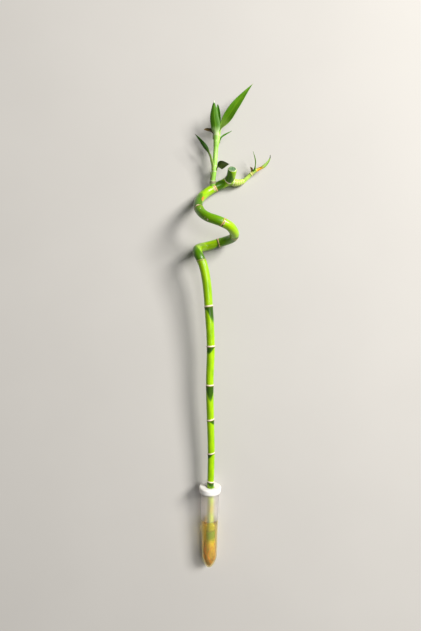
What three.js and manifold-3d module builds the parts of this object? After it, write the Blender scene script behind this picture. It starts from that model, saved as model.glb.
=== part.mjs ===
// Lucky bamboo (Dracaena sanderiana) with a coiled cane, lying on a table in its water tube.
// Millimetres, +Z up. The plant lies along +Y with its foot at -Y, and the table is the plane z = 0.
// It is laid out on a bench frame whose origin is on the table under the middle of the cap's top,
// and LAYOUT_SHIFT then brings the middle of the whole plant over the origin.

import * as THREE from 'three';
import * as BufferGeometryUtils from 'three/addons/utils/BufferGeometryUtils.js';
import Module from 'manifold-3d';

const wasm = await Module();
wasm.setup();

const DEGREE = Math.PI / 180;
const { lerp, smoothstep } = THREE.MathUtils;

// Placing
const LAYOUT_SHIFT = [-32.6, -237.5, 0];
const TUBE_TILT = 2.75 * DEGREE; // the tube rises towards the coil
const TUBE_LEAN = 0.65 * DEGREE; // and its foot points a little to the left
const FIT_GAP = 0.3;

// Tube, cap and gel: heights are above the tube's tip
const TUBE_SIDES = 24;
const TUBE_LENGTH = 123;
const TUBE_WALL = 1.2;
const TUBE_MOUTH_RADIUS = 13.8;
const TUBE_FOOT_RADIUS = 11.7;
const TUBE_FOOT_HEIGHT = 19;
const TUBE_TIP_POWERS = [1.5, 0.56]; // they shape the rounded tip
const TUBE_BEAD_RISE = 0.25;
const TUBE_BEAD_HALF_WIDTH = 0.7;
const TUBE_BEAD_HEIGHTS = [109, 111.3, 113.6];
const CAP_HEIGHT = 9.3;
const CAP_PLATE = 2.2;
const CAP_RADIUS = 16.8;
const CAP_EDGE = 0.8;
const CAP_SLOT_RADIUS = 5.9; // of its round end, half the slot's width
const CAP_SLOT_END = [0.7, 4.0]; // the round end's middle, to the right of and above the cap's middle
const CAP_SLOT_TURN = 27 * DEGREE; // it opens downwards and this much to the left
const GEL_LEVEL = 72;

// Cane: lengths are from the cut in the tube
const CANE_SIDES = 13;
const CANE_FOOT_RADIUS = 5.0;
const CANE_COIL_RADIUS = 6.9;
const CANE_WIDENS = [100, 470]; // it widens evenly over this stretch
const RING_RISE = 0.45;
const RING_HALF_WIDTH = 1.3;
const RING_SLANT = 0.16; // the rings sit a little askew on the cane
const RING_PLACES = [
  43.5, 77.5, 117, 160, 210.5, 262, 319.5, 378.5, 446, 516.5, 551.5, 591.5, 638.5, 703.5, 728,
];
const COIL_FROM = 440;
const STRAIGHT_STEP = 21; // between the cane's cross sections
const COIL_STEP = 5.7;
const CANE_ROUTE = [
  [0.2, -108, 12.6], [0.5, -52, 16.4], [0.7, -2, 19.9], [1.9, 52, 22.8], [0.7, 102, 25.5],
  [-0.4, 154, 28.3], [1.2, 211, 31.3], [-2.0, 270, 34.4], [-5.1, 306, 36.8], [-10.6, 331, 39.0],
  [-16.8, 344, 38.5], [-19.0, 352, 29.5], [-15.6, 357, 17.5], [-7.5, 360.5, 7.4], [2.5, 363, 7.1],
  [13.0, 366, 8.2], [24.5, 368.5, 13.0], [33.0, 370.5, 22.5], [35.8, 373.2, 34.0],
  [33.6, 377, 46.0], [27.4, 381.8, 55.5], [17.4, 386, 60.5], [7.0, 389.8, 61.0],
  [-3.0, 393.8, 58.5], [-12.2, 402, 50.5], [-17.2, 414.5, 38.5], [-15.6, 427, 25.5],
  [-8.2, 438.2, 14.5], [1.0, 446.3, 8.8], [10.0, 451.8, 7.2], [18.7, 455.8, 7.2],
  [25.8, 459, 10.2], [30.0, 461.8, 16.0], [31.8, 465.4, 22.0], [32.8, 470.6, 29.5],
];
const SEAL_RADIUS = 6.2;
const SEAL_THICKNESS = 0.9;

// Roots
const ROOT_SIDES = 5;
const ROOT_RADIUS = 0.85;
const ROOT_FROM_WALL = 2.2; // from the tube's inner wall to a root's middle
const ROOT_SEGMENT = 4.5;
const LONG_ROOTS = 8;
const LONG_ROOT_TURN = [6.8, 13.0]; // the radius and height where a long root turns up
const LONG_ROOT_FROM = 16.5; // and the height where it meets the wall
const LONG_ROOT_REACH = [24, 48];
const SHORT_ROOTS = 3;
const SHORT_ROOT_PATH = [[0, 3.4, 10.0], [0.7, 3.2, 7.4], [1.5, 2.0, 5.2]]; // turn, radius and height
const CALLUS_PROFILE = [[2.6, -4.8], [4.4, -3.4], [4.7, -1.8], [4.3, 0]]; // radii below the cane's cut
const CALLUS_DEPTH = 5.2;
const CALLUS_SIDES = 10;

// Shoots: radii and ridges by length from where each starts inside the cane
const SHOOT_SIDES = 10;
const SHOOT_ROUTE = [
  [4.0, 449, 9.0], [4.4, 459, 12.6], [6.0, 471, 15.2], [7.4, 487, 17.2], [8.6, 503, 19.0],
  [9.6, 515, 20.8], [10.3, 525, 22.2],
];
const SHOOT_PROFILE = [[0, 5.0], [9, 5.0], [10.5, 4.3], [12, 3.75], [23, 3.7], [24, 4.0], [25, 3.7],
  [31, 3.6], [32, 3.9], [33, 3.6], [50, 3.7], [58, 4.0], [68, 4.7], [77, 5.4]];
const SIDE_SHOOT_ROUTE = [
  [29.0, 459.0, 11.5], [36.0, 457.6, 9.0], [44.5, 458.4, 6.4], [51.0, 460.8, 5.2], [57.4, 466.2, 6.0],
  [63.2, 471.4, 8.0], [70.4, 475.8, 10.4], [75.0, 477.8, 11.6],
];
const SIDE_SHOOT_PROFILE = [[0, 5.4], [8, 5.6], [9.2, 6.0], [10.4, 5.3], [11.8, 5.7], [13, 5.0],
  [14.6, 5.3], [15.8, 4.5], [18.6, 4.8], [19.8, 4.1], [22, 4.3], [23.4, 3.6], [26, 3.0], [37.5, 2.8],
  [39, 3.3], [40.5, 2.8], [49, 2.5]];

// Leaves
const LEAF_THICKNESS = 0.7;
const LEAF_TIP_WIDTH = 1.0;
const LEAF_LENS = 1.9; // how full the blade's outline is

function closedOnly(geometry) {
  const bare = geometry.clone();
  bare.deleteAttribute('normal');
  bare.deleteAttribute('uv');
  const merged = BufferGeometryUtils.mergeVertices(bare, 1e-5);
  const corners = Array.from(merged.index.array);
  const kept = [];
  for (let i = 0; i < corners.length; i += 3) {
    const [a, b, c] = corners.slice(i, i + 3);
    if (a !== b && b !== c && c !== a) kept.push(a, b, c);
  }
  merged.setIndex(kept);
  return merged;
}

function toSolid(geometry) {
  const closed = closedOnly(geometry);
  return new wasm.Manifold(new wasm.Mesh({
    numProp: 3,
    vertProperties: new Float32Array(closed.attributes.position.array),
    triVerts: new Uint32Array(closed.index.array),
  }));
}

function toGeometry(solid) {
  const mesh = solid.getMesh();
  const geometry = new THREE.BufferGeometry();
  geometry.setAttribute('position', new THREE.BufferAttribute(new Float32Array(mesh.vertProperties), 3));
  geometry.setIndex(new THREE.BufferAttribute(new Uint32Array(mesh.triVerts), 1));
  geometry.computeVertexNormals();
  return geometry;
}

function cutBy(geometry, ...cutters) {
  const cut = cutters.reduce((solid, cutter) => solid.subtract(toSolid(cutter)), toSolid(geometry));
  return toGeometry(cut);
}

// A smooth line in space, with a frame that doesn't twist along it
class Route {
  constructor(points, face = [0, 0, 1]) {
    this.curve = new THREE.CatmullRomCurve3(points.map((point) => new THREE.Vector3(...point)));
    this.curve.arcLengthDivisions = 2000;
    this.length = this.curve.getLength();
    this.steps = Math.max(20, Math.ceil(this.length));
    this.normals = [];
    let normal = new THREE.Vector3(...face);
    for (let i = 0; i <= this.steps; i += 1) {
      const tangent = this.curve.getTangentAt(i / this.steps);
      normal = normal.clone().addScaledVector(tangent, -normal.dot(tangent)).normalize();
      this.normals.push(normal);
    }
  }

  // The place at a length along the line, which runs on straight past its ends
  at(along) {
    const place = THREE.MathUtils.clamp(along / this.length, 0, 1);
    const step = Math.min(Math.floor(place * this.steps), this.steps - 1);
    const tangent = this.curve.getTangentAt(place);
    const normal = this.normals[step].clone().lerp(this.normals[step + 1], place * this.steps - step);
    normal.addScaledVector(tangent, -normal.dot(tangent)).normalize();
    const point = this.curve.getPointAt(place).addScaledVector(tangent, along - place * this.length);
    return { point, tangent, normal, side: new THREE.Vector3().crossVectors(tangent, normal) };
  }

  // The direction square to the line, turned from the line's upper side towards its right
  outward(along, turn) {
    const { normal, side } = this.at(along);
    const [part, sidePart] = [Math.cos(turn * DEGREE), Math.sin(turn * DEGREE)];
    return normal.clone().multiplyScalar(part).addScaledVector(side, sidePart);
  }
}

// A round solid, turned from [radius, height] points that start and end on the axis, or close
function turned(profile, sides, start = 0) {
  const points = profile.map(([radius, height]) => new THREE.Vector2(radius, height));
  return new THREE.LatheGeometry(points, sides, start);
}

// The same round solid with its axis laid along a route; shift moves its points along by their place
function turnedAlong(profile, sides, route, shift = () => 0) {
  const geometry = turned(profile, sides);
  const position = geometry.attributes.position;
  for (let i = 0; i < position.count; i += 1) {
    const [x, y, z] = [position.getX(i), position.getY(i), position.getZ(i)];
    const { point, normal, side } = route.at(y + shift(x, y));
    point.addScaledVector(side, x).addScaledVector(normal, z);
    position.setXYZ(i, point.x, point.y, point.z);
  }
  return geometry;
}

// A stem from [length, radius] stations, with its ends rounded off
function stemGeometry(stations, sides, route) {
  const profile = stations.map(([along, radius]) => [radius, along]);
  const [footRadius] = profile[0];
  const [headRadius, headPlace] = profile[profile.length - 1];
  const rounded = [[0, 0], [footRadius * 0.9, 0], [footRadius, 0.5], ...profile.slice(1, -1),
    [headRadius, headPlace - 0.8], [headRadius * 0.85, headPlace], [0, headPlace]];
  return turnedAlong(rounded, sides, route);
}

function caneRadius(along) {
  const [from, to] = CANE_WIDENS;
  const share = THREE.MathUtils.clamp((along - from) / (to - from), 0, 1);
  return lerp(CANE_FOOT_RADIUS, CANE_COIL_RADIUS, share);
}

// Each ring is a low ridge, a little askew, and between the rings the cane is plain
function caneGeometry(route, grown = 0) {
  const isClear = (along) => RING_PLACES.every((ring) => Math.abs(along - ring) > 2.2 * RING_HALF_WIDTH);
  const rises = RING_PLACES.flatMap((ring) => [
    [ring - RING_HALF_WIDTH, 0], [ring, RING_RISE], [ring + RING_HALF_WIDTH, 0]]);
  const step = (along) => (along < COIL_FROM ? STRAIGHT_STEP : COIL_STEP);
  for (let along = STRAIGHT_STEP; along < route.length - COIL_STEP; along += step(along)) {
    if (isClear(along)) rises.push([along, 0]);
  }
  rises.sort(([one], [other]) => one - other);
  const head = caneRadius(route.length);
  const profile = [
    [0, -grown], [CANE_FOOT_RADIUS - 0.6 + grown, -grown], [CANE_FOOT_RADIUS + grown, 0.7],
    ...rises.map(([along, rise]) => [caneRadius(along) + rise + grown, along]),
    [head + grown, route.length - 0.7], [head - 0.6 + grown, route.length], [0, route.length],
  ];
  return turnedAlong(profile, CANE_SIDES, route, (x, y) => (isClear(y) ? 0 : RING_SLANT * x));
}

function tubeRadius(height) {
  if (height >= TUBE_FOOT_HEIGHT) {
    const rise = (height - TUBE_FOOT_HEIGHT) / (TUBE_LENGTH - TUBE_FOOT_HEIGHT);
    return lerp(TUBE_FOOT_RADIUS, TUBE_MOUTH_RADIUS, rise);
  }
  const drop = (TUBE_FOOT_HEIGHT - height) / TUBE_FOOT_HEIGHT;
  const [inner, outer] = TUBE_TIP_POWERS;
  return TUBE_FOOT_RADIUS * (1 - drop ** inner) ** outer;
}

// Heights that draw the rounded tip and the long taper, from a floor up to a top
function tubeHeights(floor, top) {
  const tip = [0.04, 0.14, 0.34, 0.62].map((part) => lerp(floor, TUBE_FOOT_HEIGHT, part));
  return [...tip, TUBE_FOOT_HEIGHT, lerp(TUBE_FOOT_HEIGHT, top, 0.5), top];
}

function tubeGeometry() {
  const outer = tubeHeights(0, TUBE_LENGTH).map((height) => [tubeRadius(height), height]);
  const beads = TUBE_BEAD_HEIGHTS.flatMap((height) => [
    [tubeRadius(height), height - TUBE_BEAD_HALF_WIDTH], [tubeRadius(height) + TUBE_BEAD_RISE, height],
    [tubeRadius(height), height + TUBE_BEAD_HALF_WIDTH]]);
  outer.splice(outer.length - 1, 0, ...beads);
  const inner = tubeHeights(0, TUBE_LENGTH)
    .map((height) => [tubeRadius(height) - TUBE_WALL, Math.min(height + TUBE_WALL, TUBE_LENGTH)])
    .reverse();
  return turned([[0, 0], ...outer, ...inner, [0, TUBE_WALL]], TUBE_SIDES, Math.PI / TUBE_SIDES);
}

// The inner wall's radius, for what stands inside the tube
function boreRadius(height) {
  return tubeRadius(height - TUBE_WALL) - TUBE_WALL;
}

// A U-shaped prism: a round end near the cap's middle, and straight sides out past its rim
function slotCutter(top) {
  const outline = new THREE.Shape();
  outline.moveTo(CAP_SLOT_RADIUS, -2 * CAP_RADIUS);
  outline.lineTo(CAP_SLOT_RADIUS, 0);
  outline.absarc(0, 0, CAP_SLOT_RADIUS, 0, Math.PI, false);
  outline.lineTo(-CAP_SLOT_RADIUS, -2 * CAP_RADIUS);
  const settings = { depth: 2 * CAP_HEIGHT, bevelEnabled: false, curveSegments: 10 };
  const cutter = new THREE.ExtrudeGeometry(outline, settings);
  cutter.rotateX(Math.PI / 2);
  cutter.rotateY(CAP_SLOT_TURN);
  const [right, up] = CAP_SLOT_END;
  cutter.translate(right, top + CAP_HEIGHT / 2, up);
  return cutter;
}

// The cap's side is drafted by the tube's own tilt, so its lowest facet lies flat on the table
function capGeometry() {
  const top = TUBE_LENGTH + FIT_GAP + CAP_PLATE;
  const bottom = top - CAP_HEIGHT;
  const under = TUBE_LENGTH + FIT_GAP;
  const flat = CAP_HEIGHT - 2 * CAP_EDGE;
  const lowerRadius = CAP_RADIUS - (flat * Math.tan(TUBE_TILT)) / Math.cos(Math.PI / TUBE_SIDES);
  const bore = tubeRadius(bottom) + FIT_GAP;
  const boreTop = TUBE_MOUTH_RADIUS + FIT_GAP;
  const profile = [
    [0, under], [boreTop, under], [bore, bottom], [lowerRadius - CAP_EDGE, bottom],
    [lowerRadius, bottom + CAP_EDGE], [CAP_RADIUS, top - CAP_EDGE], [CAP_RADIUS - CAP_EDGE, top], [0, top],
  ];
  return cutBy(turned(profile, TUBE_SIDES, Math.PI / TUBE_SIDES), slotCutter(top));
}

// Evenly spread numbers from 0 to 1 that are the same on every run
function seededDraws(seed) {
  const [multiplier, modulus] = [16807, 2147483647];
  let state = seed;
  return () => {
    state = (state * multiplier) % modulus;
    return state / modulus;
  };
}

// Long roots leave the callus, turn up along the tube's wall and wander; short ones fill the tip
function rootRoutes(caneFoot) {
  const draw = seededDraws(11);
  const routes = [];
  for (let i = 0; i < LONG_ROOTS; i += 1) {
    const angle = ((i + 0.5 * draw()) / LONG_ROOTS) * 2 * Math.PI;
    const reach = lerp(...LONG_ROOT_REACH, draw());
    const bend = 0.5 - draw();
    const points = [[angle, ...LONG_ROOT_TURN]];
    for (let step = 0; step <= 3; step += 1) {
      const height = lerp(LONG_ROOT_FROM, reach, step / 3);
      const sway = bend * Math.sin(1.4 * step) + 0.18 * (draw() - 0.5);
      points.push([angle + sway, boreRadius(height) - ROOT_FROM_WALL, height]);
    }
    routes.push(points);
  }
  for (let i = 0; i < SHORT_ROOTS; i += 1) {
    const angle = ((i + 0.4 + 0.3 * draw()) / SHORT_ROOTS) * 2 * Math.PI;
    routes.push(SHORT_ROOT_PATH.map(([turn, radius, height]) => [angle + turn, radius, height]));
  }
  const inCallus = [caneFoot.x, caneFoot.y - 2.4, caneFoot.z];
  return routes.map((points) => new Route([inCallus, ...points.map(([angle, radius, height]) => [
    radius * Math.sin(angle), height, radius * Math.cos(angle)])]));
}

// The callus is a lump just under the cane's cut, which all the roots grow from
function rootsGeometry(caneFoot, grown = 0) {
  const profile = CALLUS_PROFILE.map(([radius, height]) => [radius + grown, height]);
  const callus = turned([
    [0, -CALLUS_DEPTH - grown], [profile[0][0], profile[0][1] - grown], ...profile.slice(1, -1),
    [profile[profile.length - 1][0], grown], [0, grown]], CALLUS_SIDES);
  callus.translate(caneFoot.x, caneFoot.y - FIT_GAP, caneFoot.z);
  const strands = rootRoutes(caneFoot).map((route) => {
    const [thick, thin] = [ROOT_RADIUS + grown, 0.7 * ROOT_RADIUS + grown];
    const steps = Math.round(route.length / ROOT_SEGMENT);
    const middle = Array.from({ length: steps - 1 }, (_, i) => (i + 1) / steps);
    return turnedAlong([
      [0, 0], [thick, 0], ...middle.map((part) => [lerp(thick, thin, part), part * route.length]),
      [0.5 * thin, route.length + grown], [0, route.length + grown]], ROOT_SIDES, route);
  });
  const whole = strands.reduce((solid, strand) => solid.add(toSolid(strand)), toSolid(callus));
  return toGeometry(whole);
}

function gelGeometry(...standing) {
  const lift = TUBE_WALL + FIT_GAP;
  const heights = tubeHeights(0, TUBE_LENGTH).slice(0, 5);
  const wall = heights.map((height) => [tubeRadius(height) - lift, height + lift]);
  const level = [tubeRadius(GEL_LEVEL - lift) - lift, GEL_LEVEL];
  const gel = turned([[0, lift], ...wall, level, [0, GEL_LEVEL]], TUBE_SIDES, Math.PI / TUBE_SIDES);
  return cutBy(gel, ...standing);
}

// A leaf is a thin sheet about its midrib. Across, it is an arc: clasped round the stem at its
// foot, a channel along its stalk, and a shallow fold in its blade.
function leafGeometry(leaf) {
  const route = new Route(leaf.points, leaf.face);
  const { across, along, clasp, claspTo, stalk, bladeFrom, broad, widest, fold } = leaf;
  const sheet = new THREE.PlaneGeometry(1, 1, across, along);
  const corners = sheet.attributes.position.count;
  const positions = new Float32Array(corners * 6);
  for (let i = 0; i < corners; i += 1) {
    const u = sheet.attributes.position.getX(i);
    const v = sheet.attributes.position.getY(i) + 0.5;
    const t = Math.max(0, (v - bladeFrom) / (1 - bladeFrom));
    const lens = (t / widest) ** (LEAF_LENS * widest)
      * Math.max(0, (1 - t) / (1 - widest)) ** (LEAF_LENS * (1 - widest));
    const claspWidth = clasp.radius * clasp.turn * DEGREE;
    const stalkWidth = lerp(claspWidth, stalk, smoothstep(v, claspTo, bladeFrom));
    const width = Math.max(LEAF_TIP_WIDTH, stalkWidth * (1 - t) + (broad - stalk * (1 - widest)) * lens);
    const turn = lerp(clasp.turn, fold, smoothstep(v, claspTo, bladeFrom + 0.12)) * DEGREE;
    const { point, normal, side } = route.at(v * route.length);
    const twist = (leaf.twist ?? 0) * DEGREE * smoothstep(v, claspTo, leaf.twistBy ?? 1);
    const up = normal.clone().multiplyScalar(Math.cos(twist)).addScaledVector(side, Math.sin(twist));
    const out = side.clone().multiplyScalar(Math.cos(twist)).addScaledVector(normal, -Math.sin(twist));
    const arcRadius = width / turn;
    const wave = (leaf.wave ?? 0) * Math.sin(2.5 * 2 * Math.PI * v + Math.sign(u)) * (2 * u) ** 2 * lens;
    const over = arcRadius * (1 - Math.cos(turn * u)) + wave;
    const [part, outPart] = [Math.cos(turn * u), Math.sin(turn * u)];
    const middle = point.clone().addScaledVector(out, arcRadius * outPart).addScaledVector(up, over);
    const outOfSheet = up.clone().multiplyScalar(part).addScaledVector(out, -outPart);
    outOfSheet.multiplyScalar(LEAF_THICKNESS / 2);
    middle.clone().add(outOfSheet).toArray(positions, i * 3);
    middle.clone().sub(outOfSheet).toArray(positions, (corners + i) * 3);
  }
  const upper = Array.from(sheet.index.array);
  const faces = [...upper];
  for (let i = 0; i < upper.length; i += 3) {
    faces.push(upper[i] + corners, upper[i + 2] + corners, upper[i + 1] + corners);
  }
  const rim = [];
  const corner = (column, row) => row * (across + 1) + column;
  for (let column = 0; column < across; column += 1) rim.push(corner(column, along));
  for (let row = along; row > 0; row -= 1) rim.push(corner(across, row));
  for (let column = across; column > 0; column -= 1) rim.push(corner(column, 0));
  for (let row = 0; row < along; row += 1) rim.push(corner(0, row));
  rim.forEach((from, i) => {
    const to = rim[(i + 1) % rim.length];
    faces.push(to, from, from + corners, to, from + corners, to + corners);
  });
  const geometry = new THREE.BufferGeometry();
  geometry.setAttribute('position', new THREE.BufferAttribute(positions, 3));
  geometry.setIndex(faces);
  geometry.computeVertexNormals();
  return geometry;
}

// The foot of a leaf on a stem: two points beside the stem that the leaf's route starts with. Past
// the stem's end they carry on in its direction, so a top leaf rises from the end of its stem.
function footOn(stem, from, to, turn, radius) {
  const beside = (along) => stem.at(along).point.addScaledVector(stem.outward(along, turn), radius);
  const points = [beside(from).toArray(), beside(to).toArray()];
  return { points, face: stem.outward(from, turn).negate().toArray() };
}

function stemRadiusAt(stations, along) {
  const next = stations.findIndex(([place]) => place >= along);
  const [[placeA, radiusA], [placeB, radiusB]] = [stations[next - 1], stations[next]];
  return lerp(radiusA, radiusB, (along - placeA) / (placeB - placeA));
}

const caneRoute = new Route(CANE_ROUTE);
const STEMS = {
  shoot: { route: new Route(SHOOT_ROUTE), profile: SHOOT_PROFILE },
  side_shoot: { route: new Route(SIDE_SHOOT_ROUTE), profile: SIDE_SHOOT_PROFILE },
};

// Each leaf: its place on its stem, then its midrib's further points, then its widths and turns
const LEAVES = [
  {
    name: 'big_leaf', stem: 'shoot', from: 77.4, to: 82, turn: 155, clasp: 140, foot: 4.8,
    path: [[16.6, 533.6, 20.6], [20.8, 540, 22.6], [27.4, 549.6, 25.4], [35.3, 562, 27.4],
      [45.0, 575.4, 27.6], [54.6, 588, 26.2], [63.8, 600, 23.5]],
    stalk: 8.4, claspTo: 0.03, bladeFrom: 0.1, broad: 16.6, widest: 0.33, fold: 34, wave: 0.35,
    across: 6, along: 24, colour: 0x4fa81c,
  },
  {
    name: 'upright_leaf', stem: 'shoot', from: 77.4, to: 82, turn: -15, clasp: 150, foot: 4.8,
    path: [[7.8, 537, 27], [6.0, 548, 28.8], [5.6, 560.5, 29.8], [6.0, 572, 30]],
    stalk: 10, claspTo: 0.03, bladeFrom: 0.08, broad: 15.0, widest: 0.42, fold: 70,
    across: 6, along: 16, colour: 0x3c8f18,
  },
  {
    name: 'rear_leaf', stem: 'shoot', from: 77.4, to: 82, turn: 165, clasp: 100, foot: 1.6,
    path: [[12.6, 540, 23.2], [12.4, 554, 24.0], [11.4, 569, 24.4]],
    stalk: 3.0, claspTo: 0.05, bladeFrom: 0.2, broad: 7.4, widest: 0.45, fold: 70,
    across: 4, along: 12, colour: 0x4a9a22,
  },
  {
    name: 'short_left_leaf', stem: 'shoot', from: 71, to: 74, turn: -140, clasp: 80,
    path: [[5.6, 528.4, 17.0], [2.4, 532.4, 17.9], [-3.0, 533.5, 18.5], [-8.8, 533.8, 18.8]],
    stalk: 4.4, claspTo: 0.12, bladeFrom: 0.35, broad: 7.4, widest: 0.6, fold: 30,
    across: 4, along: 8, colour: 0x33540f,
  },
  {
    name: 'small_right_leaf', stem: 'shoot', from: 66, to: 69, turn: 132, clasp: 80,
    path: [[18.2, 523.4, 17.8], [24.8, 527.2, 18.8], [32.8, 531.6, 19.4]],
    stalk: 3.4, claspTo: 0.12, bladeFrom: 0.35, broad: 4.0, widest: 0.4, fold: 50,
    across: 4, along: 10, colour: 0x3f8a1a,
  },
  {
    name: 'left_lower_leaf', stem: 'shoot', from: 25.6, to: 31, turn: -80, clasp: 140,
    path: [[1.2, 486, 18.6], [0.1, 493, 20], [-2.2, 499.2, 21], [-5.8, 505.0, 22], [-12.3, 513.6, 23],
      [-21.9, 525.6, 21.5]],
    stalk: 3.6, claspTo: 0.1, bladeFrom: 0.45, broad: 7.0, widest: 0.42, fold: 50, twist: 55, twistBy: 0.6,
    across: 4, along: 16, colour: 0x2f6a1a,
  },
  {
    name: 'dark_right_leaf', stem: 'shoot', from: 26.6, to: 29.6, turn: 88, clasp: 84,
    path: [[14.0, 479.6, 17.2], [17.6, 480.9, 18.0], [22.4, 481.6, 18.6], [29.2, 482.2, 18.8]],
    stalk: 6.6, claspTo: 0.06, bladeFrom: 0.22, broad: 13.6, widest: 0.3, fold: 40, twist: 72, twistBy: 0.5,
    across: 6, along: 12, colour: 0x3c5216,
  },
  {
    name: 'base_scale', stem: 'shoot', from: 12.4, to: 16, turn: -75, clasp: 110,
    path: [[0.8, 469, 16.2], [-0.2, 473.0, 17.2]],
    stalk: 4.4, claspTo: 0.3, bladeFrom: 0.5, broad: 3.4, widest: 0.3, fold: 60,
    across: 4, along: 6, colour: 0x93b85a,
  },
  {
    name: 'side_tip_leaf', stem: 'side_shoot', from: 50, to: 52.5, turn: 180, clasp: 150, foot: 2.0,
    path: [[80.4, 480.4, 12.2], [85.8, 484.8, 14.4], [89.6, 490.4, 17], [90.2, 495.4, 19.6]],
    stalk: 4.6, claspTo: 0.06, bladeFrom: 0.3, broad: 4.8, widest: 0.3, fold: 120,
    across: 6, along: 12, colour: 0x7cb52a,
  },
  {
    name: 'side_upright_leaf', stem: 'side_shoot', from: 44, to: 46, turn: -70, clasp: 110,
    path: [[68.2, 484.4, 14], [67.4, 492, 15.6], [64.6, 502.5, 16.4]],
    stalk: 3.4, claspTo: 0.1, bladeFrom: 0.3, broad: 3.2, widest: 0.4, fold: 90,
    across: 4, along: 10, colour: 0x5a9a24,
  },
  {
    name: 'side_dry_sheath', stem: 'side_shoot', from: 40.8, to: 42, turn: -120, clasp: 110,
    path: [[62.8, 477.8, 8.6], [61.2, 481, 9.4]],
    stalk: 4.4, claspTo: 0.2, bladeFrom: 0.4, broad: 3.4, widest: 0.3, fold: 80,
    across: 4, along: 6, colour: 0x8a6a3c,
  },
];

function leafMeshGeometry(leaf) {
  const { route, profile } = STEMS[leaf.stem];
  const radius = leaf.foot ?? stemRadiusAt(profile, leaf.to) + FIT_GAP + LEAF_THICKNESS / 2 + 0.1;
  const { points, face } = footOn(route, leaf.from, leaf.to, leaf.turn, radius);
  return leafGeometry({
    ...leaf, points: [...points, ...leaf.path], face, clasp: { radius, turn: leaf.clasp },
  });
}

function mesh(name, geometry, colour, roughness, extra = {}) {
  const material = new THREE.MeshStandardMaterial({ color: colour, roughness, metalness: 0, ...extra });
  const piece = new THREE.Mesh(geometry, material);
  piece.name = name;
  return piece;
}

const plant = new THREE.Group();
plant.position.set(...LAYOUT_SHIFT);

// The holder's own frame has the tube's axis as its Y, from the tip up
const holder = new THREE.Group();
holder.rotation.set(TUBE_TILT, 0, -TUBE_LEAN, 'ZXY');
const capTop = TUBE_LENGTH + FIT_GAP + CAP_PLATE;
const facetReach = CAP_RADIUS * Math.cos(Math.PI / TUBE_SIDES) * Math.cos(TUBE_TILT);
const capTopHeight = facetReach + CAP_EDGE * Math.sin(TUBE_TILT);
holder.position.set(0, capTop, 0).applyEuler(holder.rotation).negate();
holder.position.z += capTopHeight;
holder.updateMatrix();
plant.add(holder);

const caneInHolder = caneGeometry(caneRoute, FIT_GAP).applyMatrix4(holder.matrix.clone().invert());
const caneFoot = caneRoute.at(0).point.applyMatrix4(holder.matrix.clone().invert());
const seeThrough = { transparent: true, opacity: 0.5 };
holder.add(
  mesh('tube', tubeGeometry(), 0xdfd8d2, 0.35, seeThrough),
  mesh('cap', capGeometry(), 0xf4f1ec, 0.5),
  mesh('roots', rootsGeometry(caneFoot), 0xb4641c, 0.6),
  mesh('gel', gelGeometry(caneInHolder, rootsGeometry(caneFoot, FIT_GAP)), 0xd8cf9a, 0.1, seeThrough),
);

plant.add(mesh('cane', caneGeometry(caneRoute), 0x7cc010, 0.35));
const grownCane = caneGeometry(caneRoute, FIT_GAP);
for (const [name, { route, profile }] of Object.entries(STEMS)) {
  plant.add(mesh(name, cutBy(stemGeometry(profile, SHOOT_SIDES, route), grownCane), 0x9ccc50, 0.4));
}
for (const leaf of LEAVES) {
  plant.add(mesh(leaf.name, leafMeshGeometry(leaf), leaf.colour, 0.4));
}

const sealGeometry = turned([[0, 0], [SEAL_RADIUS - 0.3, 0], [SEAL_RADIUS, 0.3],
  [SEAL_RADIUS - 0.2, 0.7], [SEAL_RADIUS - 1, SEAL_THICKNESS], [0, SEAL_THICKNESS]], CANE_SIDES);
const seal = mesh('cut_seal', sealGeometry, 0x5f8f7c, 0.5);
const caneEnd = caneRoute.at(caneRoute.length);
seal.position.copy(caneEnd.point).addScaledVector(caneEnd.tangent, FIT_GAP);
seal.quaternion.setFromUnitVectors(new THREE.Vector3(0, 1, 0), caneEnd.tangent);
plant.add(seal);

export default plant;
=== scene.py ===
# Lucky bamboo: a spiral cane with two leafy shoots, lying on a table with its rooted foot in a
# capped water tube. Lengths are in millimetres and turns in degrees, on a bench whose origin is
# on the table under the middle of the cap's top, with +Y along the plant and +Z up.

import random
from bisect import bisect_right
from collections import namedtuple
from math import copysign, cos, degrees, exp, pi, radians, sin, sqrt, tan
from types import SimpleNamespace

import bmesh
import bpy
from mathutils import Matrix, Vector, noise


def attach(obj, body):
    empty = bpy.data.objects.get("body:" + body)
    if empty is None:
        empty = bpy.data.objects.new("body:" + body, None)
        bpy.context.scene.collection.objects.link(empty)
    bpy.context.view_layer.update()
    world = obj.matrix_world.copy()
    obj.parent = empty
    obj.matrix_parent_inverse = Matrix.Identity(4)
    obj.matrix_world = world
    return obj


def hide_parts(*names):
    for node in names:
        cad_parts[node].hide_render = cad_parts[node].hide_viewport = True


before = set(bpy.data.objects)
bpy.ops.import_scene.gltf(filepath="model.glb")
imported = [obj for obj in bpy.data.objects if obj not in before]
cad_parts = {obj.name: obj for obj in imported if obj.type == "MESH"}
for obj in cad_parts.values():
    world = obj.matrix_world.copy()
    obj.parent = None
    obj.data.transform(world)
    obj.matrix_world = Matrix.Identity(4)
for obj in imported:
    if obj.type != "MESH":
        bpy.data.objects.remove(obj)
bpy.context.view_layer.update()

# The bench, brought to the frame's place and to metres
MM = 0.001
MERGE_DISTANCE = 0.002
LAYOUT_SHIFT = Vector((-32.6, -237.5, 0))
BENCH = Matrix.Scale(MM, 4) @ Matrix.Translation(LAYOUT_SHIFT)

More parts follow.
